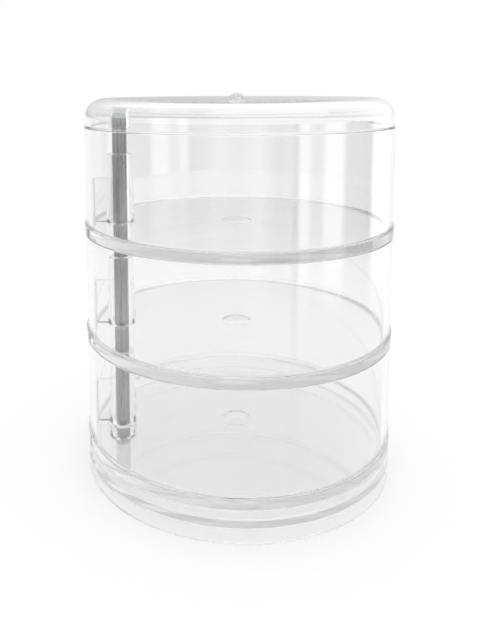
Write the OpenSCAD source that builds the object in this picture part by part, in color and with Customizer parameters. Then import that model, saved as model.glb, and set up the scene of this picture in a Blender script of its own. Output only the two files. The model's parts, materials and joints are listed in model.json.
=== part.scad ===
// Rotating jewelry box: three clear round trays and a lid that swing one above another on a metal post.
// The frame stands on the table at z = 0 with the stack's axis on Z, and the front is -Y.

/* [Stack] */
// Outer radius of the base and of the flange round each tray's foot
stack_r = 52.5; // [48:0.5:60]
// Thickness of the moulded walls
wall_t = 2; // [1.5:0.1:2.8]
// Gap between pieces that slide over one another
running_gap = 0.3; // [0.2:0.05:0.6]
// Rounding of the moulded rims and edges
edge_round = 0.3; // [0.2:0.05:0.7]

/* [Trays] */
// Height of one tray from its underside to its rim
tray_h = 35.3; // [30:0.1:45]
// Thickness of a tray's floor
floor_t = 2.5; // [1.6:0.1:3]
// Height of the flange round a tray's foot
flange_h = 3; // [2:0.1:5]
// How far the flange stands proud of the wall above it
flange_step = 0.5; // [0.3:0.1:1]
// Rounding of the flange's two edges
flange_round = 0.2; // [0.1:0.05:0.25]
// How far the wall leans outwards from foot to rim
wall_lean = 0.3; // [0:0.1:0.8]
// Radius of the hollow corner between floor and wall
floor_fillet = 1; // [0.5:0.1:3]
// Radius of the domed gate well in the middle of each floor
gate_r = 5; // [3:0.1:7]
// Rise of the gate well's dome
gate_h = 0.5; // [0.3:0.1:1.4]

/* [Post] */
// Diameter of the metal post
post_d = 5; // [4:0.1:5.6]
// Distance from the stack's outer radius in to the post's axis
post_inset = 11.9; // [11:0.1:13]
// Direction of the post from the stack's axis, in degrees
post_angle = 184; // [180:1:225]
// Radial running clearance round the post
post_clear = 0.1; // [0.05:0.05:0.2]
// How far the post's metal reaches above the upper tray's rim
post_rise = 3.1; // [1.5:0.1:3.5]
// Height of the nose cap on the post
cap_h = 3.8; // [2:0.1:4.2]
// Diameter of the cap's stem inside the post
cap_stem_d = 3; // [2:0.1:3.2]
// Length of that stem
cap_stem_l = 5; // [3:0.5:8]
// Narrowing of the cap's radius from its foot to its shoulder
cap_taper = 0.35; // [0.1:0.05:0.6]
// Rounding of the cap's nose
cap_round = 1; // [0.4:0.1:1.2]

/* [Sleeves] */
// Height of a tray's sleeve above the floor
sleeve_h = 23.5; // [18:0.5:28]
// Outer diameter of a sleeve at its foot
sleeve_foot_d = 9.6; // [9:0.1:10.4]
// Outer diameter of a sleeve at its top
sleeve_top_d = 8.4; // [8:0.1:9]
// Radius of the fillet round a sleeve's foot
sleeve_fillet = 0.3; // [0.2:0.1:1.5]
// Height of the rib that ties a sleeve to the wall
rib_h = 15; // [8:0.5:17]
// Thickness of that rib
rib_t = 1.6; // [1:0.1:2.5]
// Radius of the fillets where the rib meets sleeve, wall and floor
rib_root = 0.2; // [0.1:0.1:0.8]

/* [Lid] */
// Height of the lid's flat top above its rim
lid_h = 9; // [8.6:0.1:14]
// Radius of the lid's rounded shoulder
lid_round = 6.6; // [4:0.1:7.5]
// How much smaller in radius the lid is than the flange
lid_inset = 0.4; // [0:0.1:1]
// Outer diameter of the socket under the lid that takes the post
lid_socket_d = 7.6; // [7.2:0.1:9]
// How far the socket hangs below the lid's rim
lid_socket_drop = 1; // [0:0.1:2]
// Radius of the nub in the middle of the lid
nub_r = 3.2; // [2:0.1:5]
// Rise of that nub
nub_h = 1.6; // [1:0.1:2.5]

/* [Base] */
// Height of the base from the table to its rim
base_h = 10.4; // [9.4:0.1:13]
// Height of the plate's underside above the table
plate_z = 4.3; // [3.6:0.1:5.6]
// Thickness of that plate
plate_t = 2; // [1.8:0.1:3]
// Radius of the fillets between the plate and the skirt
plate_fillet = 1.4; // [0.5:0.1:1.6]
// Outer diameter of the post's seat at its foot
seat_foot_d = 10; // [9:0.1:12]
// Outer diameter of the seat at its top
seat_top_d = 9.2; // [8:0.1:9.6]

/* [Fastener] */
// Diameter of the screw that holds the post from below
screw_d = 3; // [2.5:0.1:3.2]
// How far the screw reaches into the post
screw_reach = 9; // [5:0.5:12]
// Diameter of the screw's pan head
head_d = 5.6; // [5:0.1:6.5]
// Height of that head
head_h = 2; // [1.6:0.1:2.2]
// Span of the cross recess in that head
recess_span = 3; // [2:0.1:3.2]
// Width of the recess's slots
recess_w = 0.8; // [0.6:0.1:1]
// Depth of the recess
recess_depth = 1.2; // [0.6:0.1:1.4]
// Diameter of the washer under the head
washer_d = 7; // [6.6:0.1:9]
// Thickness of the washer
washer_t = 0.5; // [0.4:0.1:0.8]
// Radial clearance of a press or screw fit in the metal
fit_clear = 0.04; // [0.02:0.01:0.08]
// Radial clearance of the screw in the plate and washer
hole_clear = 0.15; // [0.1:0.05:0.3]

/* [Hidden] */
$fn = 96;
// Steps along a small rounding and along a large one
small_steps = 4;
large_steps = 10;
// How far a cut or a rooted piece runs past the face that it crosses
overrun = 1;

// Places worked out from the sizes above
post_r = post_d / 2;
post_offset = stack_r - post_inset;
bore_r = post_r + post_clear;
pitch = tray_h + running_gap;
trays_z = base_h + running_gap;
top_rim_z = trays_z + 2 * pitch + tray_h;
lid_z = top_rim_z + running_gap;
seat_z = plate_z + plate_t;
metal_top_z = top_rim_z + post_rise;
cap_top_z = metal_top_z + cap_h;
foot_wall_r = stack_r - flange_step;
rim_r = foot_wall_r + wall_lean;
lid_r = stack_r - lid_inset;
skirt_r = stack_r - wall_t;
// The plate's fillets are limited by the stretch of skirt that each one has
lower_fillet = min(plate_fillet, plate_z - edge_round);
upper_fillet = min(plate_fillet, base_h - edge_round - seat_z);

// Points of an arc about a centre, from one angle to another
function arc(centre, r, from, to, steps) =
    [for (i = [0:steps]) let (a = from + (to - from) * i / steps) centre + r * [cos(a), sin(a)]];

// Points of a shallow dome that stands on z, from the axis out to radius r
function dome(r, h, z, steps) =
    let (ball = (r * r + h * h) / (2 * h))
    arc([0, z + h - ball], ball, 90, acos(r / ball), steps);

// Points of a list in the opposite order
function reversed(points) = [for (i = [len(points) - 1:-1:0]) points[i]];

// Points of a list mirrored in the first axis, so that a half outline closes on itself
function with_mirror(points) =
    concat(points, [for (p = reversed(points)) [p[0], -p[1]]]);

// Radius of a tray wall's inner face at a height above the tray's underside
function inner_r(z) = foot_wall_r - wall_t + wall_lean * (z - flange_h) / (tray_h - flange_h);

module at_post(z = 0)
    translate([post_offset * cos(post_angle), post_offset * sin(post_angle), z])
        children();

// Floor, flange and wall of a tray as one revolved section
module tray_shell()
    rotate_extrude()
        polygon(concat(
            dome(gate_r, gate_h, 0, small_steps),
            arc([stack_r - flange_round, flange_round], flange_round, -90, 0, small_steps),
            arc([stack_r - flange_round, flange_h - flange_round], flange_round, 0, 90, small_steps),
            [[foot_wall_r, flange_h]],
            arc([rim_r - edge_round, tray_h - edge_round], edge_round, 0, 90, small_steps),
            arc([rim_r - wall_t + edge_round, tray_h - edge_round], edge_round, 90, 180, small_steps),
            arc([inner_r(floor_t + floor_fillet) - floor_fillet, floor_t + floor_fillet],
                floor_fillet, 0, -90, large_steps),
            reversed(dome(gate_r, gate_h, floor_t, small_steps))
        ));

// Tapered sleeve that turns on the post, rooted in the floor with a fillet round its foot
module sleeve()
    rotate_extrude()
        polygon(concat(
            [[0, floor_t / 2], [sleeve_foot_d / 2 + sleeve_fillet, floor_t / 2]],
            arc([sleeve_foot_d / 2 + sleeve_fillet, floor_t + sleeve_fillet],
                sleeve_fillet, 270, 180, small_steps),
            arc([sleeve_top_d / 2 - edge_round, floor_t + sleeve_h - edge_round],
                edge_round, 0, 90, small_steps),
            [[0, floor_t + sleeve_h]]
        ));

// Upright rib from the sleeve out into the wall, with fillets at both ends and along its foot
module rib()
    let (
        root_y = rib_t / 2 + rib_root,
        wall_x = inner_r(floor_t) - post_offset,
        end_x = wall_x + wall_t / 2
    )
    rotate([0, 0, post_angle])
        translate([post_offset, 0, floor_t / 2]) {
            linear_extrude(height = floor_t / 2 + rib_h)
                polygon(with_mirror(concat(
                    [[0, root_y]],
                    arc([sleeve_top_d / 2 + rib_root, root_y], rib_root, 180, 270, small_steps),
                    arc([wall_x - rib_root, root_y], rib_root, 270, 360, small_steps),
                    [[end_x, root_y]]
                )));
            rotate([180, -90, 0])
                linear_extrude(height = end_x)
                    polygon(with_mirror(concat(
                        [[0, root_y], [floor_t / 2, root_y]],
                        arc([floor_t / 2 + rib_root, root_y], rib_root, 180, 270, small_steps)
                    )));
        }

module tray(level)
    color([0.9, 0.93, 0.95, 0.35])
        translate([0, 0, trays_z + level * pitch])
            difference() {
                union() {
                    tray_shell();
                    at_post() sleeve();
                    rib();
                }
                at_post(-overrun)
                    cylinder(r = bore_r, h = floor_t + sleeve_h + 2 * overrun);
            }

module lower_tray() tray(0);

module middle_tray() tray(1);

module upper_tray() tray(2);

// Round socket that hangs under the lid's top, with its lower edge rounded
module lid_socket()
    rotate_extrude()
        polygon(concat(
            [[0, 0]],
            arc([lid_socket_d / 2 - edge_round, edge_round], edge_round, -90, 0, small_steps),
            [
                [lid_socket_d / 2, lid_socket_drop + lid_h - wall_t / 2],
                [0, lid_socket_drop + lid_h - wall_t / 2]
            ]
        ));

// Round lid with a soft shoulder, a nub in the middle and a blind socket over the post's nose
module lid()
    color([0.9, 0.93, 0.95, 0.35])
        translate([0, 0, lid_z])
            difference() {
                union() {
                    rotate_extrude()
                        polygon(concat(
                            arc([lid_r - edge_round, edge_round], edge_round, -90, 0, small_steps),
                            arc([lid_r - lid_round, lid_h - lid_round], lid_round, 0, 90, large_steps),
                            reversed(dome(nub_r, nub_h, lid_h, small_steps)),
                            [[0, lid_h - wall_t]],
                            arc([lid_r - lid_round, lid_h - lid_round], lid_round - wall_t,
                                90, 0, large_steps),
                            arc([lid_r - wall_t + edge_round, edge_round], edge_round,
                                180, 270, small_steps)
                        ));
                    at_post(-lid_socket_drop) lid_socket();
                }
                at_post(-lid_socket_drop - overrun)
                    cylinder(r = bore_r, h = overrun + lid_socket_drop + cap_top_z - lid_z + running_gap);
            }

// Shallow base: a skirt that stands on the table, a plate across it and a seat for the post
module base()
    color([0.9, 0.93, 0.95, 0.35])
        difference() {
            union() {
                rotate_extrude()
                    polygon(concat(
                        dome(gate_r, gate_h, plate_z, small_steps),
                        arc([skirt_r - lower_fillet, plate_z - lower_fillet],
                            lower_fillet, 90, 0, small_steps),
                        arc([skirt_r + edge_round, edge_round], edge_round, 180, 270, small_steps),
                        arc([stack_r - edge_round, edge_round], edge_round, -90, 0, small_steps),
                        arc([stack_r - edge_round, base_h - edge_round], edge_round, 0, 90, small_steps),
                        arc([skirt_r + edge_round, base_h - edge_round], edge_round, 90, 180, small_steps),
                        arc([skirt_r - upper_fillet, seat_z + upper_fillet],
                            upper_fillet, 0, -90, small_steps),
                        reversed(dome(gate_r, gate_h, seat_z, small_steps))
                    ));
                at_post(plate_z + plate_t / 2)
                    cylinder(d1 = seat_foot_d, d2 = seat_top_d, h = base_h - plate_z - plate_t / 2);
            }
            at_post(seat_z)
                cylinder(r = post_r + fit_clear, h = base_h - seat_z + overrun);
            at_post(plate_z - overrun)
                cylinder(r = screw_d / 2 + hole_clear, h = plate_t + 2 * overrun);
        }

// Metal post, drilled at its foot for the screw and at its top for the cap's stem
module pivot_rod()
    color("silver")
        at_post()
            difference() {
                translate([0, 0, seat_z])
                    cylinder(r = post_r, h = metal_top_z - seat_z);
                translate([0, 0, seat_z - overrun])
                    cylinder(r = screw_d / 2 + fit_clear, h = screw_reach + 2 * overrun);
                translate([0, 0, metal_top_z - cap_stem_l - overrun])
                    cylinder(r = cap_stem_d / 2 + fit_clear, h = cap_stem_l + 2 * overrun);
            }

// Nose cap on the post: a tapered, rounded head on a stem
module rod_cap()
    color("lightgray")
        at_post(metal_top_z)
            rotate_extrude()
                polygon(concat(
                    [
                        [0, -cap_stem_l], [cap_stem_d / 2, -cap_stem_l],
                        [cap_stem_d / 2, 0], [post_r, 0]
                    ],
                    arc([post_r - cap_taper - cap_round, cap_h - cap_round],
                        cap_round, 0, 90, small_steps),
                    [[0, cap_h]]
                ));

// Pan-head screw that draws the post down on its seat, with a cross recess under its head
module rod_screw()
    color("gainsboro")
        at_post(plate_z - washer_t)
            difference() {
                rotate_extrude()
                    polygon(concat(
                        [[0, -head_h]],
                        arc([head_d / 2 - head_h / 2, -head_h / 2], head_h / 2, -90, 0, large_steps),
                        [
                            [head_d / 2, 0], [screw_d / 2, 0],
                            [screw_d / 2, washer_t + plate_t + screw_reach],
                            [0, washer_t + plate_t + screw_reach]
                        ]
                    ));
                for (turn = [0, 90])
                    rotate([0, 0, turn])
                        translate([-recess_span / 2, -recess_w / 2, -head_h - overrun])
                            cube([recess_span, recess_w, recess_depth + overrun]);
            }

// Flat washer between the screw's head and the plate
module rod_washer()
    color("gainsboro")
        at_post(plate_z - washer_t)
            difference() {
                cylinder(d = washer_d, h = washer_t);
                translate([0, 0, -overrun])
                    cylinder(r = screw_d / 2 + hole_clear, h = washer_t + 2 * overrun);
            }

base();
pivot_rod();
rod_screw();
rod_washer();
rod_cap();
lower_tray();
middle_tray();
upper_tray();
lid();
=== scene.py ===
# %% [markdown]
# # A rotating jewelry box in clear plastic
#
# Three round trays and a lid are stacked on a shallow base, and all of them swing sideways on one metal post.
# Nearly everything here is clear, so the picture is made by edges, seams and what shines through them. The
# lesson is therefore about closed walls of true thickness, smooth normals and a studio that gives glass
# something to show.

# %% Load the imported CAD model
import json
import math

import bmesh
import bpy
from mathutils import Matrix, Vector


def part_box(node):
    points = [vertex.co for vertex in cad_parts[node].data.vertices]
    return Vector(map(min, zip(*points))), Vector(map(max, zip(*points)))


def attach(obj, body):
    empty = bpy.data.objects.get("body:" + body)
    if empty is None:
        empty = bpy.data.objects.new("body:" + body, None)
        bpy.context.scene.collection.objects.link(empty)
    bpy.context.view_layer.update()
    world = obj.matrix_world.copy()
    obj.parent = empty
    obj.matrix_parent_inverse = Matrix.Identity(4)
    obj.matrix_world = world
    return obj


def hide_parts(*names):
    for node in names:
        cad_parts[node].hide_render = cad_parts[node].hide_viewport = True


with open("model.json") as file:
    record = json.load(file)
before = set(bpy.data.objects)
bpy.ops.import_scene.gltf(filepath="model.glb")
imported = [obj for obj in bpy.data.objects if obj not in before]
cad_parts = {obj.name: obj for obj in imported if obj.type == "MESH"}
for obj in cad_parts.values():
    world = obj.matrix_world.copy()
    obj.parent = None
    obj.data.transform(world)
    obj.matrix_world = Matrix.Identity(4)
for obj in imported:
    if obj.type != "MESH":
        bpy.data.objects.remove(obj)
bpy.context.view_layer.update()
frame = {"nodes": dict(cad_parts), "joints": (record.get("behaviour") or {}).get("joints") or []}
MM = 0.001

# %% [markdown]
# ## Two helpers
#
# Every tree in this file, for shapes and for materials, is built with one function: it adds a node, sets its
# properties, and links or fills its inputs. Colours are written as the hex values that an image editor shows,
# and one function turns them into the linear light that a renderer works in.

# %% Node and colour helpers
def add_node(tree, kind, inputs=None, **settings):
    """Adds a node. Settings are its properties, and inputs maps a socket to a value or to another socket."""
    node = tree.nodes.new(kind)
    for name, value in settings.items():
        setattr(node, name, value)
    for key, value in (inputs or {}).items():
        sources = value if isinstance(value, list) else [value]
        for source in sources:
            if isinstance(source, bpy.types.NodeSocket):
                tree.links.new(source, node.inputs[key])
            else:
                node.inputs[key].default_value = source
    return node


def linear(hex_colour):
    """The linear RGBA of an sRGB colour such as "#8c8c8c"."""
    shares = [int(hex_colour[i:i + 2], 16) / 255 for i in (1, 3, 5)]
    return (*[s / 12.92 if s <= 0.04045 else ((s + 0.055) / 1.055) ** 2.4 for s in shares], 1.0)


print("linear mid grey:", [round(v, 3) for v in linear("#808080")])

# %% [markdown]
# ## Clear moulded polystyrene
#
# Boxes like this are injection moulded in general purpose polystyrene: water clear, hard and glossy, with a
# higher refractive index than acrylic, so its edges flash. Three things keep it from looking like perfect glass.
# The melt freezes while it flows, which leaves slow waves in the walls. Handling leaves a faint haze of rubbed
# spots. And the plastic takes a little light, which only shows where one looks along a floor or a rim.

# %% Clear polystyrene
POLYSTYRENE_IOR = 1.59
FLOW_WAVE, FLOW_RISE = 26 * MM, 0.012 * MM
RUB_SPOT = 9 * MM
RUB_START, RUB_FULL = 0.5, 0.75
POLISHED, RUBBED = 0.01, 0.05
LIGHT_TAKEN = 9.5


def clear_polystyrene():
    """Water clear and glossy: edges that flash, slow waves in what shows through, and a faint haze in spots."""
    mat = bpy.data.materials.new("clear_moulded_polystyrene")
    mat.use_nodes = True
    tree = mat.node_tree
    tree.nodes.clear()
    place = add_node(tree, "ShaderNodeTexCoord").outputs["Object"]
    flow = add_node(tree, "ShaderNodeTexNoise", {"Vector": place, "Scale": 1 / FLOW_WAVE, "Detail": 1.5})
    bump = add_node(tree, "ShaderNodeBump", {"Height": flow.outputs[0], "Distance": FLOW_RISE})
    rubs = add_node(tree, "ShaderNodeTexNoise", {"Vector": place, "Scale": 1 / RUB_SPOT, "Detail": 4.0})
    haze = add_node(tree, "ShaderNodeMapRange", {
        "Value": rubs.outputs[0], "From Min": RUB_START, "From Max": RUB_FULL, "To Min": POLISHED, "To Max": RUBBED})
    shader = add_node(tree, "ShaderNodeBsdfPrincipled", {
        "Base Color": linear("#fbfbfb"), "Roughness": haze.outputs[0], "IOR": POLYSTYRENE_IOR,
        "Transmission Weight": 1.0, "Normal": bump.outputs[0]})
    # Light on its way to a matte surface passes straight through, which keeps the shadow on the floor soft and clean
    rays = add_node(tree, "ShaderNodeLightPath").outputs
    lighting = add_node(tree, "ShaderNodeMath", {0: rays["Is Shadow Ray"], 1: rays["Is Diffuse Ray"]},
                        operation="MAXIMUM")
    passed = add_node(tree, "ShaderNodeBsdfTransparent", {"Color": linear("#f5f5f5")})
    both = add_node(tree, "ShaderNodeMixShader", {
        0: lighting.outputs[0], 1: shader.outputs[0], 2: passed.outputs[0]})
    inside = add_node(tree, "ShaderNodeVolumeAbsorption", {"Color": linear("#cacaca"), "Density": LIGHT_TAKEN})
    add_node(tree, "ShaderNodeOutputMaterial", {"Surface": both.outputs[0], "Volume": inside.outputs[0]})
    return mat


plastic = clear_polystyrene()
print("made", plastic.name)

# %% [markdown]
# ## Metal and the small parts
#
# The post is a drawn bar. Drawing leaves fine lines along it, so light spreads sideways more than lengthways.
# The screw and washer are zinc plated, with the cloudy sheen of a plating bath, and the nose cap is a grey
# moulded plug with the dull skin of a textured mould.

# %% Drawn bar, zinc plate and cap plastic
# Real draw lines and mould grain are finer. These are as coarse as they need to be to show in the render.
DRAW_LINE, DRAW_LENGTH, DRAW_DEPTH = 0.7 * MM, 30 * MM, 0.01 * MM
LINE_START, LINE_FULL = 0.35, 0.65
BAR_BRIGHT, BAR_DULL = 0.24, 0.4
PLATING_CLOUD = 1.2 * MM
ZINC_BRIGHT, ZINC_DULL = 0.22, 0.4
MOULD_GRAIN, GRAIN_DEPTH = 0.25 * MM, 0.02 * MM
CAP_ROUGHNESS, POLYETHYLENE_IOR = 0.55, 1.5


def drawn_bar():
    """Satin grey metal whose lines run along the post and blur what it mirrors."""
    mat = bpy.data.materials.new("drawn_aluminium_bar")
    mat.use_nodes = True
    tree = mat.node_tree
    tree.nodes.clear()
    place = add_node(tree, "ShaderNodeTexCoord").outputs["Object"]
    along = add_node(tree, "ShaderNodeMapping", {
        "Vector": place, "Scale": (1 / DRAW_LINE, 1 / DRAW_LINE, 1 / DRAW_LENGTH)})
    lines = add_node(tree, "ShaderNodeTexNoise", {"Vector": along.outputs[0], "Scale": 1.0, "Detail": 3.0})
    worn = add_node(tree, "ShaderNodeMapRange", {
        "Value": lines.outputs[0], "From Min": LINE_START, "From Max": LINE_FULL})
    tone = add_node(tree, "ShaderNodeMix", {0: worn.outputs[0], 6: linear("#6c6c6c"), 7: linear("#a0a0a0")},
                    data_type="RGBA")
    dull = add_node(tree, "ShaderNodeMapRange", {
        "Value": worn.outputs[0], "To Min": BAR_BRIGHT, "To Max": BAR_DULL})
    bump = add_node(tree, "ShaderNodeBump", {"Height": lines.outputs[0], "Distance": DRAW_DEPTH})
    shader = add_node(tree, "ShaderNodeBsdfPrincipled", {
        "Base Color": tone.outputs[2], "Metallic": 1.0, "Roughness": dull.outputs[0], "Normal": bump.outputs[0]})
    add_node(tree, "ShaderNodeOutputMaterial", {"Surface": shader.outputs[0]})
    return mat


def zinc_plate():
    """Pale cool grey with cloudy patches, some brighter and some duller."""
    mat = bpy.data.materials.new("zinc_plated_steel")
    mat.use_nodes = True
    tree = mat.node_tree
    tree.nodes.clear()
    place = add_node(tree, "ShaderNodeTexCoord").outputs["Object"]
    cloud = add_node(tree, "ShaderNodeTexNoise", {"Vector": place, "Scale": 1 / PLATING_CLOUD, "Detail": 3.0})
    tone = add_node(tree, "ShaderNodeMix", {0: cloud.outputs[0], 6: linear("#a9adb0"), 7: linear("#c9ccce")},
                    data_type="RGBA")
    dull = add_node(tree, "ShaderNodeMapRange", {
        "Value": cloud.outputs[0], "To Min": ZINC_BRIGHT, "To Max": ZINC_DULL})
    shader = add_node(tree, "ShaderNodeBsdfPrincipled", {
        "Base Color": tone.outputs[2], "Metallic": 1.0, "Roughness": dull.outputs[0]})
    add_node(tree, "ShaderNodeOutputMaterial", {"Surface": shader.outputs[0]})
    return mat


def grained_cap_plastic():
    """Dull pale grey with a fine grain, which shows no clear reflection."""
    mat = bpy.data.materials.new("grained_grey_polyethylene")
    mat.use_nodes = True
    tree = mat.node_tree
    tree.nodes.clear()
    place = add_node(tree, "ShaderNodeTexCoord").outputs["Object"]
    grain = add_node(tree, "ShaderNodeTexNoise", {"Vector": place, "Scale": 1 / MOULD_GRAIN, "Detail": 2.0})
    tone = add_node(tree, "ShaderNodeMix", {0: grain.outputs[0], 6: linear("#c4c6c7"), 7: linear("#d2d4d5")},
                    data_type="RGBA")
    bump = add_node(tree, "ShaderNodeBump", {"Height": grain.outputs[0], "Distance": GRAIN_DEPTH})
    shader = add_node(tree, "ShaderNodeBsdfPrincipled", {
        "Base Color": tone.outputs[2], "Roughness": CAP_ROUGHNESS, "IOR": POLYETHYLENE_IOR,
        "Normal": bump.outputs[0]})
    add_node(tree, "ShaderNodeOutputMaterial", {"Surface": shader.outputs[0]})
    return mat


metal = drawn_bar()
plating = zinc_plate()
cap_plastic = grained_cap_plastic()
print("made", metal.name, plating.name, cap_plastic.name)

# %% [markdown]
# ## Sections for the revolved mouldings
#
# A moulder draws a round part as half a section and turns it about an axis. Each section below is a list of
# (radius, height) points in millimetres that walks once round the material, from the axis out and back, with
# every rounding as an arc. A straight stretch gets a point close to each end, so that the smooth shading of a
# rounding doesn't bleed into the flat beside it.

# %% Sizes of the mouldings
# In millimetres: what all mouldings share, a tray, the post, a tray's sleeve and rib, the lid, and the base
STACK_R, WALL, GAP, EDGE = 52.5, 2.0, 0.3, 0.3
TRAY_H, FLOOR, FLANGE_H, FLANGE_STEP, LEAN, FLOOR_FILLET = 35.3, 2.5, 3.0, 0.5, 0.3, 1.0
FLANGE_ROUND = 0.2
GATE_R, GATE_H = 5.0, 0.5
POST_R, POST_CLEAR = 2.5, 0.1
SLEEVE_H, SLEEVE_FOOT_R, SLEEVE_TOP_R, SLEEVE_FILLET = 23.5, 4.8, 4.2, 0.3
RIB_H, RIB_T, RIB_ROOT = 15.0, 1.6, 0.2
LID_H, LID_ROUND, LID_INSET, NUB_R, NUB_H = 9.0, 6.6, 0.4, 3.2, 1.6
SOCKET_R, SOCKET_DROP = 3.8, 1.0
BASE_H, PLATE_Z, PLATE_T, PLATE_FILLET = 10.4, 4.3, 2.0, 1.4
SEAT_FOOT_R, SEAT_TOP_R, SCREW_HOLE_R, POST_HOLE_R = 5.0, 4.6, 1.65, 2.54
# How finely a section is drawn: along arcs, on domes, and how close a straight stretch's points lie to its ends
ARC_STEP, ARC_STEPS_MIN, DOME_STEPS = 0.35, 6, 8
HOLD = 0.12
HOLD_FROM = 8 * HOLD


def arc(centre, radius, start, end):
    """Points of an arc of the section about a centre, from one angle to another, in degrees."""
    steps = max(ARC_STEPS_MIN, round(radius * math.radians(abs(end - start)) / ARC_STEP))
    angles = [math.radians(start + (end - start) * i / steps) for i in range(steps + 1)]
    return [(centre[0] + radius * math.cos(a), centre[1] + radius * math.sin(a)) for a in angles]


def dome(radius, rise, z):
    """Points of a shallow dome that stands on z, from the axis outwards."""
    ball = (radius ** 2 + rise ** 2) / (2 * rise)
    angles = [math.asin(radius / ball) * i / DOME_STEPS for i in range(DOME_STEPS + 1)]
    return [(ball * math.sin(a), z + rise - ball * (1 - math.cos(a))) for a in angles]


def held(points):
    """The same section with a point close to both ends of every stretch that is long enough to need one."""
    out = [points[0]]
    for a, b in zip(points, points[1:]):
        length = math.dist(a, b)
        if length > HOLD_FROM:
            share = HOLD / length
            out += [tuple(p + (q - p) * t for p, q in zip(a, b)) for t in (share, 1 - share)]
        out.append(b)
    return out


foot_wall_r = STACK_R - FLANGE_STEP
rim_r = foot_wall_r + LEAN
lid_r = STACK_R - LID_INSET
skirt_r = STACK_R - WALL
seat_z = PLATE_Z + PLATE_T
bore_r = POST_R + POST_CLEAR
fillet_z = FLOOR + FLOOR_FILLET
OVERRUN = 1.0


def inner_r(z):
    """Radius of a tray wall's inner face at a height above the tray's underside."""
    return foot_wall_r - WALL + LEAN * (z - FLANGE_H) / (TRAY_H - FLANGE_H)


tray_section = held(
    dome(GATE_R, GATE_H, 0)
    + arc((STACK_R - FLANGE_ROUND, FLANGE_ROUND), FLANGE_ROUND, -90, 0)
    + arc((STACK_R - FLANGE_ROUND, FLANGE_H - FLANGE_ROUND), FLANGE_ROUND, 0, 90)
    + [(foot_wall_r, FLANGE_H)]
    + arc((rim_r - EDGE, TRAY_H - EDGE), EDGE, 0, 90)
    + arc((rim_r - WALL + EDGE, TRAY_H - EDGE), EDGE, 90, 180)
    + arc((inner_r(fillet_z) - FLOOR_FILLET, fillet_z), FLOOR_FILLET, 0, -90)
    + dome(GATE_R, GATE_H, FLOOR)[::-1])
sleeve_section = held(
    [(0, FLOOR / 2), (SLEEVE_FOOT_R + SLEEVE_FILLET, FLOOR / 2)]
    + arc((SLEEVE_FOOT_R + SLEEVE_FILLET, FLOOR + SLEEVE_FILLET), SLEEVE_FILLET, 270, 180)
    + arc((SLEEVE_TOP_R - EDGE, FLOOR + SLEEVE_H - EDGE), EDGE, 0, 90)
    + [(0, FLOOR + SLEEVE_H)])
sleeve_bore = [(0, -OVERRUN), (bore_r, -OVERRUN), (bore_r, FLOOR + SLEEVE_H + OVERRUN),
               (0, FLOOR + SLEEVE_H + OVERRUN)]
lid_section = held(
    [(0, LID_H - WALL)]
    + arc((lid_r - LID_ROUND, LID_H - LID_ROUND), LID_ROUND - WALL, 90, 0)
    + arc((lid_r - WALL + EDGE, EDGE), EDGE, 180, 270)
    + arc((lid_r - EDGE, EDGE), EDGE, -90, 0)
    + arc((lid_r - LID_ROUND, LID_H - LID_ROUND), LID_ROUND, 0, 90)
    + dome(NUB_R, NUB_H, LID_H)[::-1])
socket_section = held(
    [(0, -SOCKET_DROP)]
    + arc((SOCKET_R - EDGE, EDGE - SOCKET_DROP), EDGE, -90, 0)
    + [(SOCKET_R, LID_H - WALL / 2), (0, LID_H - WALL / 2)])
base_section = held(
    dome(GATE_R, GATE_H, PLATE_Z)
    + arc((skirt_r - PLATE_FILLET, PLATE_Z - PLATE_FILLET), PLATE_FILLET, 90, 0)
    + arc((skirt_r + EDGE, EDGE), EDGE, 180, 270)
    + arc((STACK_R - EDGE, EDGE), EDGE, -90, 0)
    + arc((STACK_R - EDGE, BASE_H - EDGE), EDGE, 0, 90)
    + arc((skirt_r + EDGE, BASE_H - EDGE), EDGE, 90, 180)
    + arc((skirt_r - PLATE_FILLET, seat_z + PLATE_FILLET), PLATE_FILLET, 0, -90)
    + dome(GATE_R, GATE_H, seat_z)[::-1])
seat_section = held(
    [(0, PLATE_Z + PLATE_T / 2), (SEAT_FOOT_R, PLATE_Z + PLATE_T / 2), (SEAT_TOP_R, BASE_H), (0, BASE_H)])
seat_bore = [(0, PLATE_Z - OVERRUN), (SCREW_HOLE_R, PLATE_Z - OVERRUN), (SCREW_HOLE_R, seat_z),
             (POST_HOLE_R, seat_z), (POST_HOLE_R, BASE_H + OVERRUN), (0, BASE_H + OVERRUN)]
root_y = RIB_T / 2 + RIB_ROOT
post = Vector(frame["joints"][0]["pos_m"]).to_2d().to_3d()
rib_wall_x = inner_r(FLOOR) - post.length / MM
rib_length = rib_wall_x + WALL / 2
rib_plan = (
    [(0, root_y)]
    + arc((SLEEVE_TOP_R + RIB_ROOT, root_y), RIB_ROOT, 180, 270)
    + arc((rib_wall_x - RIB_ROOT, root_y), RIB_ROOT, 270, 360)
    + [(rib_length, root_y)])
rib_foot = (
    [(FLOOR / 2, root_y), (FLOOR, root_y)]
    + arc((FLOOR + RIB_ROOT, root_y), RIB_ROOT, 180, 270))
print("points in the tray, lid and base sections:", len(tray_section), len(lid_section), len(base_section))

# %% [markdown]
# ## One Geometry Nodes tree for every moulding
#
# Each clear part follows one rule: turn its shell about the stack's axis, turn a boss about the post's axis, tie
# the two with a rib where there is one, and cut the post's hole. So one tree makes all five, and only its inputs
# change. Curve to Mesh does the turning: a section swept round a circle is a revolved solid. A boolean is the
# honest way to join them, because light needs one skin with no walls left inside.

# %% The trees that turn a section about an axis and raise a face
WELD = 0.002 * MM


def section_object(name, points):
    """An outline in the XZ plane, in metres, as a mesh of edges."""
    mesh = bpy.data.meshes.new(name)
    mesh.from_pydata([(r * MM, 0, z * MM) for r, z in points], [(i, i + 1) for i in range(len(points) - 1)], [])
    obj = bpy.data.objects.new(name, mesh)
    bpy.context.scene.collection.objects.link(obj)
    return obj


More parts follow.
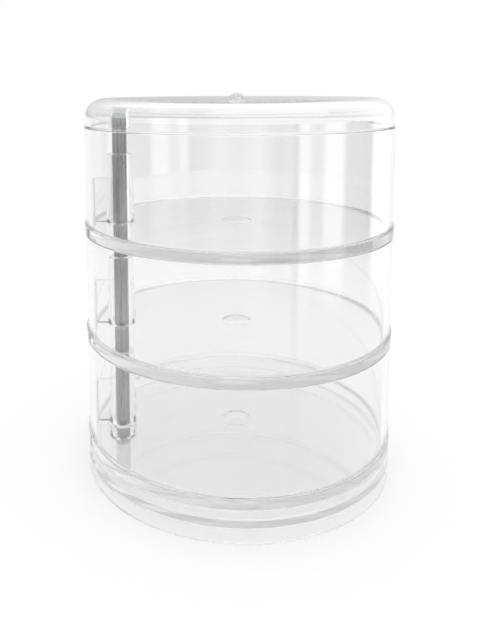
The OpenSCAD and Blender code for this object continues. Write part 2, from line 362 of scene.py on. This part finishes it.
def mirrored_face(name, half, z):
    """A flat face at height z, in metres, from half an outline and its mirror image in the first axis."""
    points = [(x, -y) for x, y in half] + half[::-1]
    mesh = bpy.data.meshes.new(name)
    mesh.from_pydata([(x * MM, y * MM, z * MM) for x, y in points], [], [range(len(points))])
    obj = bpy.data.objects.new(name, mesh)
    bpy.context.scene.collection.objects.link(obj)
    return obj


def revolve_tree():
    """Sweeps a section round a circle, closes its seam and poles, and turns its faces outwards."""
    tree = bpy.data.node_groups.new("turn_section_about_z", "GeometryNodeTree")
    tree.interface.new_socket("Section", in_out="INPUT", socket_type="NodeSocketGeometry")
    tree.interface.new_socket("Segments", in_out="INPUT", socket_type="NodeSocketInt")
    tree.interface.new_socket("Solid", in_out="OUTPUT", socket_type="NodeSocketGeometry")
    given = add_node(tree, "NodeGroupInput")
    circle_r = STACK_R * MM
    flat = add_node(tree, "GeometryNodeTransform", {
        "Geometry": given.outputs["Section"], "Rotation": (math.pi / 2, 0, 0), "Translation": (-circle_r, 0, 0)})
    outline = add_node(tree, "GeometryNodeMeshToCurve", {"Mesh": flat.outputs[0]})
    circle = add_node(tree, "GeometryNodeCurvePrimitiveCircle", {
        "Resolution": given.outputs["Segments"], "Radius": circle_r})
    swept = add_node(tree, "GeometryNodeCurveToMesh", {
        "Curve": circle.outputs[0], "Profile Curve": outline.outputs[0]})
    closed = add_node(tree, "GeometryNodeMergeByDistance", {"Geometry": swept.outputs[0], "Distance": WELD})
    outward = add_node(tree, "GeometryNodeFlipFaces", {"Mesh": closed.outputs[0]})
    add_node(tree, "NodeGroupOutput", {"Solid": outward.outputs[0]})
    return tree


def prism_tree():
    """Raises a flat face to a closed prism."""
    tree = bpy.data.node_groups.new("raise_face_to_prism", "GeometryNodeTree")
    tree.interface.new_socket("Face", in_out="INPUT", socket_type="NodeSocketGeometry")
    tree.interface.new_socket("Height", in_out="INPUT", socket_type="NodeSocketFloat")
    tree.interface.new_socket("Solid", in_out="OUTPUT", socket_type="NodeSocketGeometry")
    given = add_node(tree, "NodeGroupInput")
    up = add_node(tree, "ShaderNodeCombineXYZ", {"Z": given.outputs["Height"]})
    raised = add_node(tree, "GeometryNodeExtrudeMesh", {
        "Mesh": given.outputs["Face"], "Offset": up.outputs[0], "Individual": False}, mode="FACES")
    under = add_node(tree, "GeometryNodeFlipFaces", {"Mesh": given.outputs["Face"]})
    both = add_node(tree, "GeometryNodeJoinGeometry", {"Geometry": [raised.outputs["Mesh"], under.outputs[0]]})
    closed = add_node(tree, "GeometryNodeMergeByDistance", {"Geometry": both.outputs[0], "Distance": WELD})
    add_node(tree, "NodeGroupOutput", {"Solid": closed.outputs[0]})
    return tree


turn = revolve_tree()
raise_up = prism_tree()
print("trees:", turn.name, len(turn.nodes), "nodes,", raise_up.name, len(raise_up.nodes), "nodes")

# %% The tree that joins shell, boss and rib, and cuts the post's hole
SHELL_SEGMENTS = 288
BOSS_SEGMENTS = 96
SHARP_EDGE = math.radians(34)
MOULDING_INPUTS = {
    "Shell section": "NodeSocketObject", "Boss section": "NodeSocketObject", "Bore section": "NodeSocketObject",
    "Post": "NodeSocketVector", "Has rib": "NodeSocketBool", "Rib plan": "NodeSocketObject",
    "Rib foot": "NodeSocketObject", "Rib height": "NodeSocketFloat", "Rib length": "NodeSocketFloat",
    "Rib turn": "NodeSocketFloat", "Lift": "NodeSocketVector", "Material": "NodeSocketMaterial"}
STAND_ON_END = (math.pi, -math.pi / 2, 0)


def moulding_tree():
    """Shell, boss and rib in one skin with the post's hole cut, shaded smooth up to its sharp edges."""
    tree = bpy.data.node_groups.new("clear_moulding_on_a_post", "GeometryNodeTree")
    for name, kind in MOULDING_INPUTS.items():
        tree.interface.new_socket(name, in_out="INPUT", socket_type=kind)
    tree.interface.new_socket("Moulding", in_out="OUTPUT", socket_type="NodeSocketGeometry")
    given = add_node(tree, "NodeGroupInput").outputs
    solids = {}
    for part, segments in (("Shell", SHELL_SEGMENTS), ("Boss", BOSS_SEGMENTS), ("Bore", BOSS_SEGMENTS)):
        section = add_node(tree, "GeometryNodeObjectInfo", {"Object": given[part + " section"]})
        solids[part] = add_node(tree, "GeometryNodeGroup", node_tree=turn)
        tree.links.new(section.outputs["Geometry"], solids[part].inputs["Section"])
        solids[part].inputs["Segments"].default_value = segments
    boss = add_node(tree, "GeometryNodeTransform", {
        "Geometry": solids["Boss"].outputs[0], "Translation": given["Post"]})
    bore = add_node(tree, "GeometryNodeTransform", {
        "Geometry": solids["Bore"].outputs[0], "Translation": given["Post"]})
    rib_halves = []
    for part, height, laid in (("Rib plan", "Rib height", (0, 0, 0)), ("Rib foot", "Rib length", STAND_ON_END)):
        face = add_node(tree, "GeometryNodeObjectInfo", {"Object": given[part]})
        prism = add_node(tree, "GeometryNodeGroup", node_tree=raise_up)
        tree.links.new(face.outputs["Geometry"], prism.inputs["Face"])
        tree.links.new(given[height], prism.inputs["Height"])
        placed = add_node(tree, "GeometryNodeTransform", {"Geometry": prism.outputs[0], "Rotation": laid})
        rib_halves.append(placed.outputs[0])
    rib_solid = add_node(tree, "GeometryNodeMeshBoolean", {"Mesh 2": rib_halves},
                         operation="UNION", solver="MANIFOLD")
    turned = add_node(tree, "ShaderNodeCombineXYZ", {"Z": given["Rib turn"]})
    rib = add_node(tree, "GeometryNodeTransform", {
        "Geometry": rib_solid.outputs[0], "Translation": given["Post"], "Rotation": turned.outputs[0]})
    joined = add_node(tree, "GeometryNodeMeshBoolean", {
        "Mesh 2": [solids["Shell"].outputs[0], boss.outputs[0]]}, operation="UNION", solver="MANIFOLD")
    ribbed = add_node(tree, "GeometryNodeMeshBoolean", {
        "Mesh 2": [joined.outputs[0], rib.outputs[0]]}, operation="UNION", solver="MANIFOLD")
    chosen = add_node(tree, "GeometryNodeSwitch", {
        "Switch": given["Has rib"], "False": joined.outputs[0], "True": ribbed.outputs[0]},
        input_type="GEOMETRY")
    bored = add_node(tree, "GeometryNodeMeshBoolean", {
        "Mesh 1": chosen.outputs[0], "Mesh 2": bore.outputs[0]}, operation="DIFFERENCE", solver="MANIFOLD")
    lifted = add_node(tree, "GeometryNodeTransform", {"Geometry": bored.outputs[0], "Translation": given["Lift"]})
    real = add_node(tree, "GeometryNodeRealizeInstances", {"Geometry": lifted.outputs[0]})
    smooth = add_node(tree, "GeometryNodeSetShadeSmooth", {
        "Geometry": real.outputs[0], "Shade Smooth": True}, domain="FACE")
    angle = add_node(tree, "GeometryNodeInputMeshEdgeAngle")
    crease = add_node(tree, "FunctionNodeCompare", {0: angle.outputs["Unsigned Angle"], 1: SHARP_EDGE},
                      operation="GREATER_THAN")
    creased = add_node(tree, "GeometryNodeSetShadeSmooth", {
        "Geometry": smooth.outputs[0], "Selection": crease.outputs[0], "Shade Smooth": False}, domain="EDGE")
    coated = add_node(tree, "GeometryNodeSetMaterial", {
        "Geometry": creased.outputs[0], "Material": given["Material"]})
    add_node(tree, "NodeGroupOutput", {"Moulding": coated.outputs[0]})
    return tree


mould = moulding_tree()
print("tree", mould.name, "has", len(mould.nodes), "nodes")

# %% [markdown]
# ## From tree to plain mesh
#
# A modifier is only a recipe. Each moulding is evaluated once and kept as a mesh of its own, which can be posed,
# measured and exported. Before that, Weighted Normal lets the large faces decide the shading, so that flat walls
# and floors stay flat up to their roundings and don't bend the light that passes them.

# %% A function that runs the tree and keeps the result as a plain mesh
LARGE_FACES_DECIDE = 100


def input_names(tree):
    """Each input's name with the identifier that a modifier knows it by."""
    return {i.name: i.identifier for i in tree.interface.items_tree if i.item_type == "SOCKET"}


def made_by(tree, name, values):
    """The mesh that a tree makes from these inputs, as an object at the origin with no modifiers."""
    source = bpy.data.objects.new(name + "_source", bpy.data.meshes.new(name + "_source"))
    bpy.context.scene.collection.objects.link(source)
    modifier = source.modifiers.new("tree", "NODES")
    modifier.node_group = tree
    for key, identifier in input_names(tree).items():
        if key in values:
            modifier[identifier] = values[key]
    weighted = source.modifiers.new("flat faces keep flat normals", "WEIGHTED_NORMAL")
    weighted.keep_sharp = True
    weighted.weight = LARGE_FACES_DECIDE
    seen = source.evaluated_get(bpy.context.evaluated_depsgraph_get())
    mesh = bpy.data.meshes.new_from_object(seen)
    mesh.name = name
    bpy.data.objects.remove(source)
    piece = bpy.data.objects.new(name, mesh)
    bpy.context.scene.collection.objects.link(piece)
    return piece


def measured(piece):
    """Checks that a piece is one closed skin that faces outwards, and says how large it is."""
    shape = bmesh.new()
    shape.from_mesh(piece.data)
    open_edges = sum(not e.is_manifold for e in shape.edges)
    volume = shape.calc_volume(signed=True) / MM ** 3
    triangles = sum(len(f.verts) - 2 for f in shape.faces)
    shape.free()
    print(f"{piece.name}: {triangles} triangles, {volume:.0f} mm3, {open_edges} open edges")


# %% [markdown]
# ## Three trays, a lid and a base
#
# The post's place comes from the joints, and each moulding's height from the box of the CAD part that it stands
# for, so the finished meshes land exactly where the CAD says.

# %% Make the five mouldings
post_turn = math.atan2(post.y, post.x)
socket_top = (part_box("rod_cap")[1].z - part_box("lid")[0].z) / MM - SOCKET_DROP + GAP
socket_foot = -SOCKET_DROP - OVERRUN
socket_bore = [(0, socket_foot), (bore_r, socket_foot), (bore_r, socket_top), (0, socket_top)]
sections = {
    "tray": (tray_section, sleeve_section, sleeve_bore),
    "lid": (lid_section, socket_section, socket_bore),
    "base": (base_section, seat_section, seat_bore)}
outlines = {
    key: [section_object(f"{key}_{part}_outline", points)
          for part, points in zip(("shell", "boss", "bore"), parts)]
    for key, parts in sections.items()}
plan_face = mirrored_face("rib_plan", rib_plan, FLOOR / 2)
foot_face = mirrored_face("rib_foot", rib_foot, 0)
lifts = {body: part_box(body)[0].z for body in ("lower_tray", "middle_tray", "upper_tray", "lid", "base")}
lifts["lid"] += SOCKET_DROP * MM  # the lid's socket hangs below its rim
for body, lift in lifts.items():
    kind = "tray" if body.endswith("tray") else body
    shell, boss, bore = outlines[kind]
    piece = made_by(mould, body + "_moulding", {
        "Shell section": shell, "Boss section": boss, "Bore section": bore, "Post": post,
        "Has rib": kind == "tray", "Rib plan": plan_face, "Rib foot": foot_face,
        "Rib height": (FLOOR / 2 + RIB_H) * MM, "Rib length": rib_length * MM, "Rib turn": post_turn,
        "Lift": Vector((0, 0, lift)), "Material": plastic})
    measured(piece)
    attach(piece, body)
    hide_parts(body)
for outline in sum(outlines.values(), [plan_face, foot_face]):
    bpy.data.objects.remove(outline)

# %% [markdown]
# ## The post, its cap and its fastener
#
# These four are plain turned pieces, and the CAD meshes have their edges already. They could be made again here,
# but nothing would be gained: each keeps its mesh and gets its finish.

# %% Dress the post, its cap and its fastener
finishes = {"pivot_rod": metal, "rod_cap": cap_plastic, "rod_washer": plating, "rod_screw": plating}
for node, mat in finishes.items():
    frame["nodes"][node].material_slots[0].material = mat
    print(node, "wears", mat.name)

# %% [markdown]
# ## The studio
#
# The photograph is a cut-out on white. Clear plastic shows what surrounds it, so the surroundings do the work.
# Up to eye level, upright panels stand round the box, bright ones with darker gaps between them. They give the
# soft streaks in the walls. Above eye level the light is broad: strongest from the front and the right, and grey
# low at the rear, where the flat top of the lid mirrors it as a grey band.
#
# The camera sees plain white. The back of the studio is just as white, and so is what shows straight through two
# walls, which takes four crossings of a surface and no reflection: from every side the plastic shows the same
# background as the camera. Matte surfaces get one plain level of light.

# %% World
WHITE, PLAIN_LIGHT = 1.0, 1.0
PANEL_LIGHT, KEY_LIGHT, REAR_LIGHT = 1.8, 1.4, 1.1
KEY_SIDE = 0.5  # how far the key light stands to the right, as a share of how far it stands in front
HORIZON_FADE = 0.02  # the sine of the height over which the panels give way to the light above them
TWO_WALLS = 4  # surfaces that a ray crosses on its way through two walls
# Share of a panel's light round the studio: degrees from the front towards the right, and the share
PANELS = [
    (-180, 0.556), (-140, 0.54), (-128, 0.49), (-110, 0.36), (-88, 0.45), (-70, 0.28), (-52, 0.42), (-36, 0.24),
    (-22, 0.4), (-4, 0.28), (12, 0.5), (22, 0.06), (38, 0.06), (41, 1.0), (46, 1.0), (49, 0.3), (57, 0.3),
    (60, 1.0), (74, 1.0), (78, 0.06), (104, 0.06), (108, 0.9), (132, 0.9), (140, 0.54), (180, 0.556)]
# Share of the rear light from eye level to straight up: the sine of the height, and the share
REAR = [(0, 0.54), (0.06, 0.54), (0.12, 0.72), (0.3, 0.76), (0.65, 1.0), (1, 1.0)]


def fill_ramp(ramp, points):
    """Sets a ramp's greys from points of place and tone, the first and the last of which are its ends."""
    places = [place for place, tone in points]
    for place, tone in points[1:-1]:
        ramp.elements.new((place - places[0]) / (places[-1] - places[0])).color = (tone, tone, tone, 1)
    for element, (place, tone) in ((ramp.elements[0], points[0]), (ramp.elements[-1], points[-1])):
        element.color = (tone, tone, tone, 1)


scene = bpy.context.scene
world = bpy.data.worlds.new("studio")
scene.world = world
world.use_nodes = True
sky = world.node_tree
sky.nodes.clear()
toward = add_node(sky, "ShaderNodeTexCoord").outputs["Generated"]
axes = add_node(sky, "ShaderNodeSeparateXYZ", {"Vector": toward}).outputs
front = add_node(sky, "ShaderNodeMath", {0: axes["Y"], 1: -1.0}, operation="MULTIPLY")
bearing = add_node(sky, "ShaderNodeMath", {0: axes["X"], 1: front.outputs[0]}, operation="ARCTAN2")
turn_share = add_node(sky, "ShaderNodeMapRange", {
    "Value": bearing.outputs[0], "From Min": -math.pi, "From Max": math.pi})
panels = add_node(sky, "ShaderNodeValToRGB", {"Fac": turn_share.outputs[0]})
fill_ramp(panels.color_ramp, PANELS)
path = add_node(sky, "ShaderNodeLightPath").outputs
crossed = add_node(sky, "ShaderNodeMath", {0: path["Transmission Depth"], 1: TWO_WALLS - 1},
                   operation="GREATER_THAN")
straight = add_node(sky, "ShaderNodeMath", {0: crossed.outputs[0], 1: path["Glossy Depth"]}, operation="SUBTRACT")
panel_glow = add_node(sky, "ShaderNodeMath", {0: panels.outputs["Color"], 1: PANEL_LIGHT}, operation="MULTIPLY")
shine = add_node(sky, "ShaderNodeMix", {0: straight.outputs[0], 2: panel_glow.outputs[0], 3: WHITE},
                 data_type="FLOAT")
heights = add_node(sky, "ShaderNodeValToRGB", {"Fac": axes["Z"]})
fill_ramp(heights.color_ramp, REAR)
rear = add_node(sky, "ShaderNodeMath", {0: heights.outputs["Color"], 1: REAR_LIGHT}, operation="MULTIPLY")
from_key = add_node(sky, "ShaderNodeMath", {0: axes["X"], 1: -KEY_SIDE, 2: axes["Y"]}, operation="MULTIPLY_ADD")
overhead = add_node(sky, "ShaderNodeMapRange", {
    "Value": from_key.outputs[0], "To Min": KEY_LIGHT, "To Max": rear.outputs[0]})
above = add_node(sky, "ShaderNodeMapRange", {"Value": axes["Z"], "From Max": HORIZON_FADE},
                 interpolation_type="SMOOTHSTEP")
lit = add_node(sky, "ShaderNodeMix", {0: above.outputs[0], 2: shine.outputs[0], 3: overhead.outputs[0]},
               data_type="FLOAT")
shiny = add_node(sky, "ShaderNodeMath", {0: path["Is Glossy Ray"], 1: path["Is Transmission Ray"]},
                 operation="MAXIMUM")
cast = add_node(sky, "ShaderNodeMix", {0: shiny.outputs[0], 2: PLAIN_LIGHT, 3: lit.outputs[0]}, data_type="FLOAT")
shown = add_node(sky, "ShaderNodeMix", {0: path["Is Camera Ray"], 2: cast.outputs[0], 3: WHITE}, data_type="FLOAT")
light = add_node(sky, "ShaderNodeBackground", {"Color": shown.outputs[0], "Strength": 1.0})
add_node(sky, "ShaderNodeOutputWorld", {"Surface": light.outputs[0]})
print("world has", len(PANELS), "stops round the studio and", len(REAR), "up its rear")

# %% [markdown]
# ## Paper under the box
#
# The floor is white paper that fades out well before its rim, so that no horizon shows. A sheet that is only lit
# would look grey beside the white background. So most of its white is a glow that doesn't light the box's matte
# pieces, and the rest is plain matte paper, which keeps a soft shadow from the one broad lamp overhead.

# %% Floor and lamp
FLOOR_R, FLOOR_SIDES, FLOOR_DROP = 800 * MM, 96, 0.02 * MM
FADE_START, FADE_END = 160 * MM, 480 * MM
FLOOR_LIT = 0.66
LAMP_ENERGY, LAMP_SPREAD = 0.7, math.radians(70)
LAMP_LEAN = (math.radians(28), math.radians(18), 0)


def pale_floor():
    """White paper, partly matte and partly glowing, that fades to nothing further out."""
    mat = bpy.data.materials.new("white_paper_sweep")
    mat.use_nodes = True
    tree = mat.node_tree
    tree.nodes.clear()
    place = add_node(tree, "ShaderNodeTexCoord").outputs["Object"]
    away = add_node(tree, "ShaderNodeVectorMath", {0: place}, operation="LENGTH")
    paper = add_node(tree, "ShaderNodeBsdfDiffuse", {"Color": linear("#989898")})
    rays = add_node(tree, "ShaderNodeLightPath").outputs
    unlit = add_node(tree, "ShaderNodeMath", {0: rays["Is Diffuse Ray"], 1: rays["Is Shadow Ray"]},
                     operation="MAXIMUM")
    strength = add_node(tree, "ShaderNodeMapRange", {
        "Value": unlit.outputs[0], "To Min": FLOOR_LIT, "To Max": 0.0})
    white = add_node(tree, "ShaderNodeEmission", {"Color": linear("#ffffff"), "Strength": strength.outputs[0]})
    both = add_node(tree, "ShaderNodeAddShader", {0: paper.outputs[0], 1: white.outputs[0]})
    gone = add_node(tree, "ShaderNodeMapRange", {
        "Value": away.outputs["Value"], "From Min": FADE_START, "From Max": FADE_END},
        interpolation_type="SMOOTHSTEP")
    nothing = add_node(tree, "ShaderNodeBsdfTransparent")
    faded = add_node(tree, "ShaderNodeMixShader", {
        0: gone.outputs[0], 1: both.outputs[0], 2: nothing.outputs[0]})
    add_node(tree, "ShaderNodeOutputMaterial", {"Surface": faded.outputs[0]})
    return mat


floor_mesh = bpy.data.meshes.new("floor")
turns = [2 * math.pi * i / FLOOR_SIDES for i in range(FLOOR_SIDES)]
rim = [(FLOOR_R * math.cos(a), FLOOR_R * math.sin(a), -FLOOR_DROP) for a in turns]
floor_mesh.from_pydata(rim, [], [range(len(rim))])
floor = bpy.data.objects.new("floor", floor_mesh)
floor.data.materials.append(pale_floor())
scene.collection.objects.link(floor)

lamp = bpy.data.objects.new("overhead_softbox", bpy.data.lights.new("overhead_softbox", "SUN"))
lamp.data.energy = LAMP_ENERGY
lamp.data.angle = LAMP_SPREAD
lamp.rotation_euler = LAMP_LEAN
scene.collection.objects.link(lamp)
print("floor of", len(rim), "sides and", lamp.name)

# %% [markdown]
# ## The camera
#
# The picture was taken from close by, a little above the lid, with the upright lines kept almost parallel. That
# takes a low tilt with a lens shift, as a view camera does it. The numbers come from a camera fitted to the seams
# and the outline of the stack, with the stack's radius as the unit.

# %% Camera
PIXELS_HIGH, PIXELS_WIDE = 640, 480
FOCAL_PIXELS = 678.3
AXIS_ROW, AXIS_COLUMN = 154.9, 186.6
SENSOR_MM = (30.0, 36.0)
EYE = Vector((-17.5, -233.6, 130.1)) * MM
TILT, ROLL = 0.0994, -0.0044
NEAREST = 5 * MM
camera_data = bpy.data.cameras.new("camera")
camera_data.sensor_fit = "VERTICAL"
camera_data.sensor_width, camera_data.sensor_height = SENSOR_MM
camera_data.lens = FOCAL_PIXELS / PIXELS_HIGH * SENSOR_MM[1]
camera_data.shift_x = (PIXELS_WIDE / 2 - AXIS_COLUMN) / PIXELS_HIGH
camera_data.shift_y = (AXIS_ROW - PIXELS_HIGH / 2) / PIXELS_HIGH
camera_data.clip_start = NEAREST
camera = bpy.data.objects.new("camera", camera_data)
scene.collection.objects.link(camera)
camera.matrix_world = (
    Matrix.Translation(EYE) @ Matrix.Rotation(math.pi / 2 - TILT, 4, "X") @ Matrix.Rotation(ROLL, 4, "Z"))
scene.camera = camera
print("eye in mm:", [round(v / MM, 1) for v in EYE])

# %% [markdown]
# ## How far light is followed
#
# Light that gets into the edge of a floor or of the lid runs along inside it, mirrored at every face, before it
# gets out again. Where such a path is cut short, the edge turns black. So rays are followed through many bounces.
# The Standard view transform shows each tone as it is written.

# %% View transform and light paths
LIGHT_BOUNCES = 128
scene.view_settings.view_transform = "Standard"
scene.cycles.max_bounces = LIGHT_BOUNCES
scene.cycles.transmission_bounces = LIGHT_BOUNCES
scene.cycles.glossy_bounces = LIGHT_BOUNCES
print("light is followed through", LIGHT_BOUNCES, "bounces")
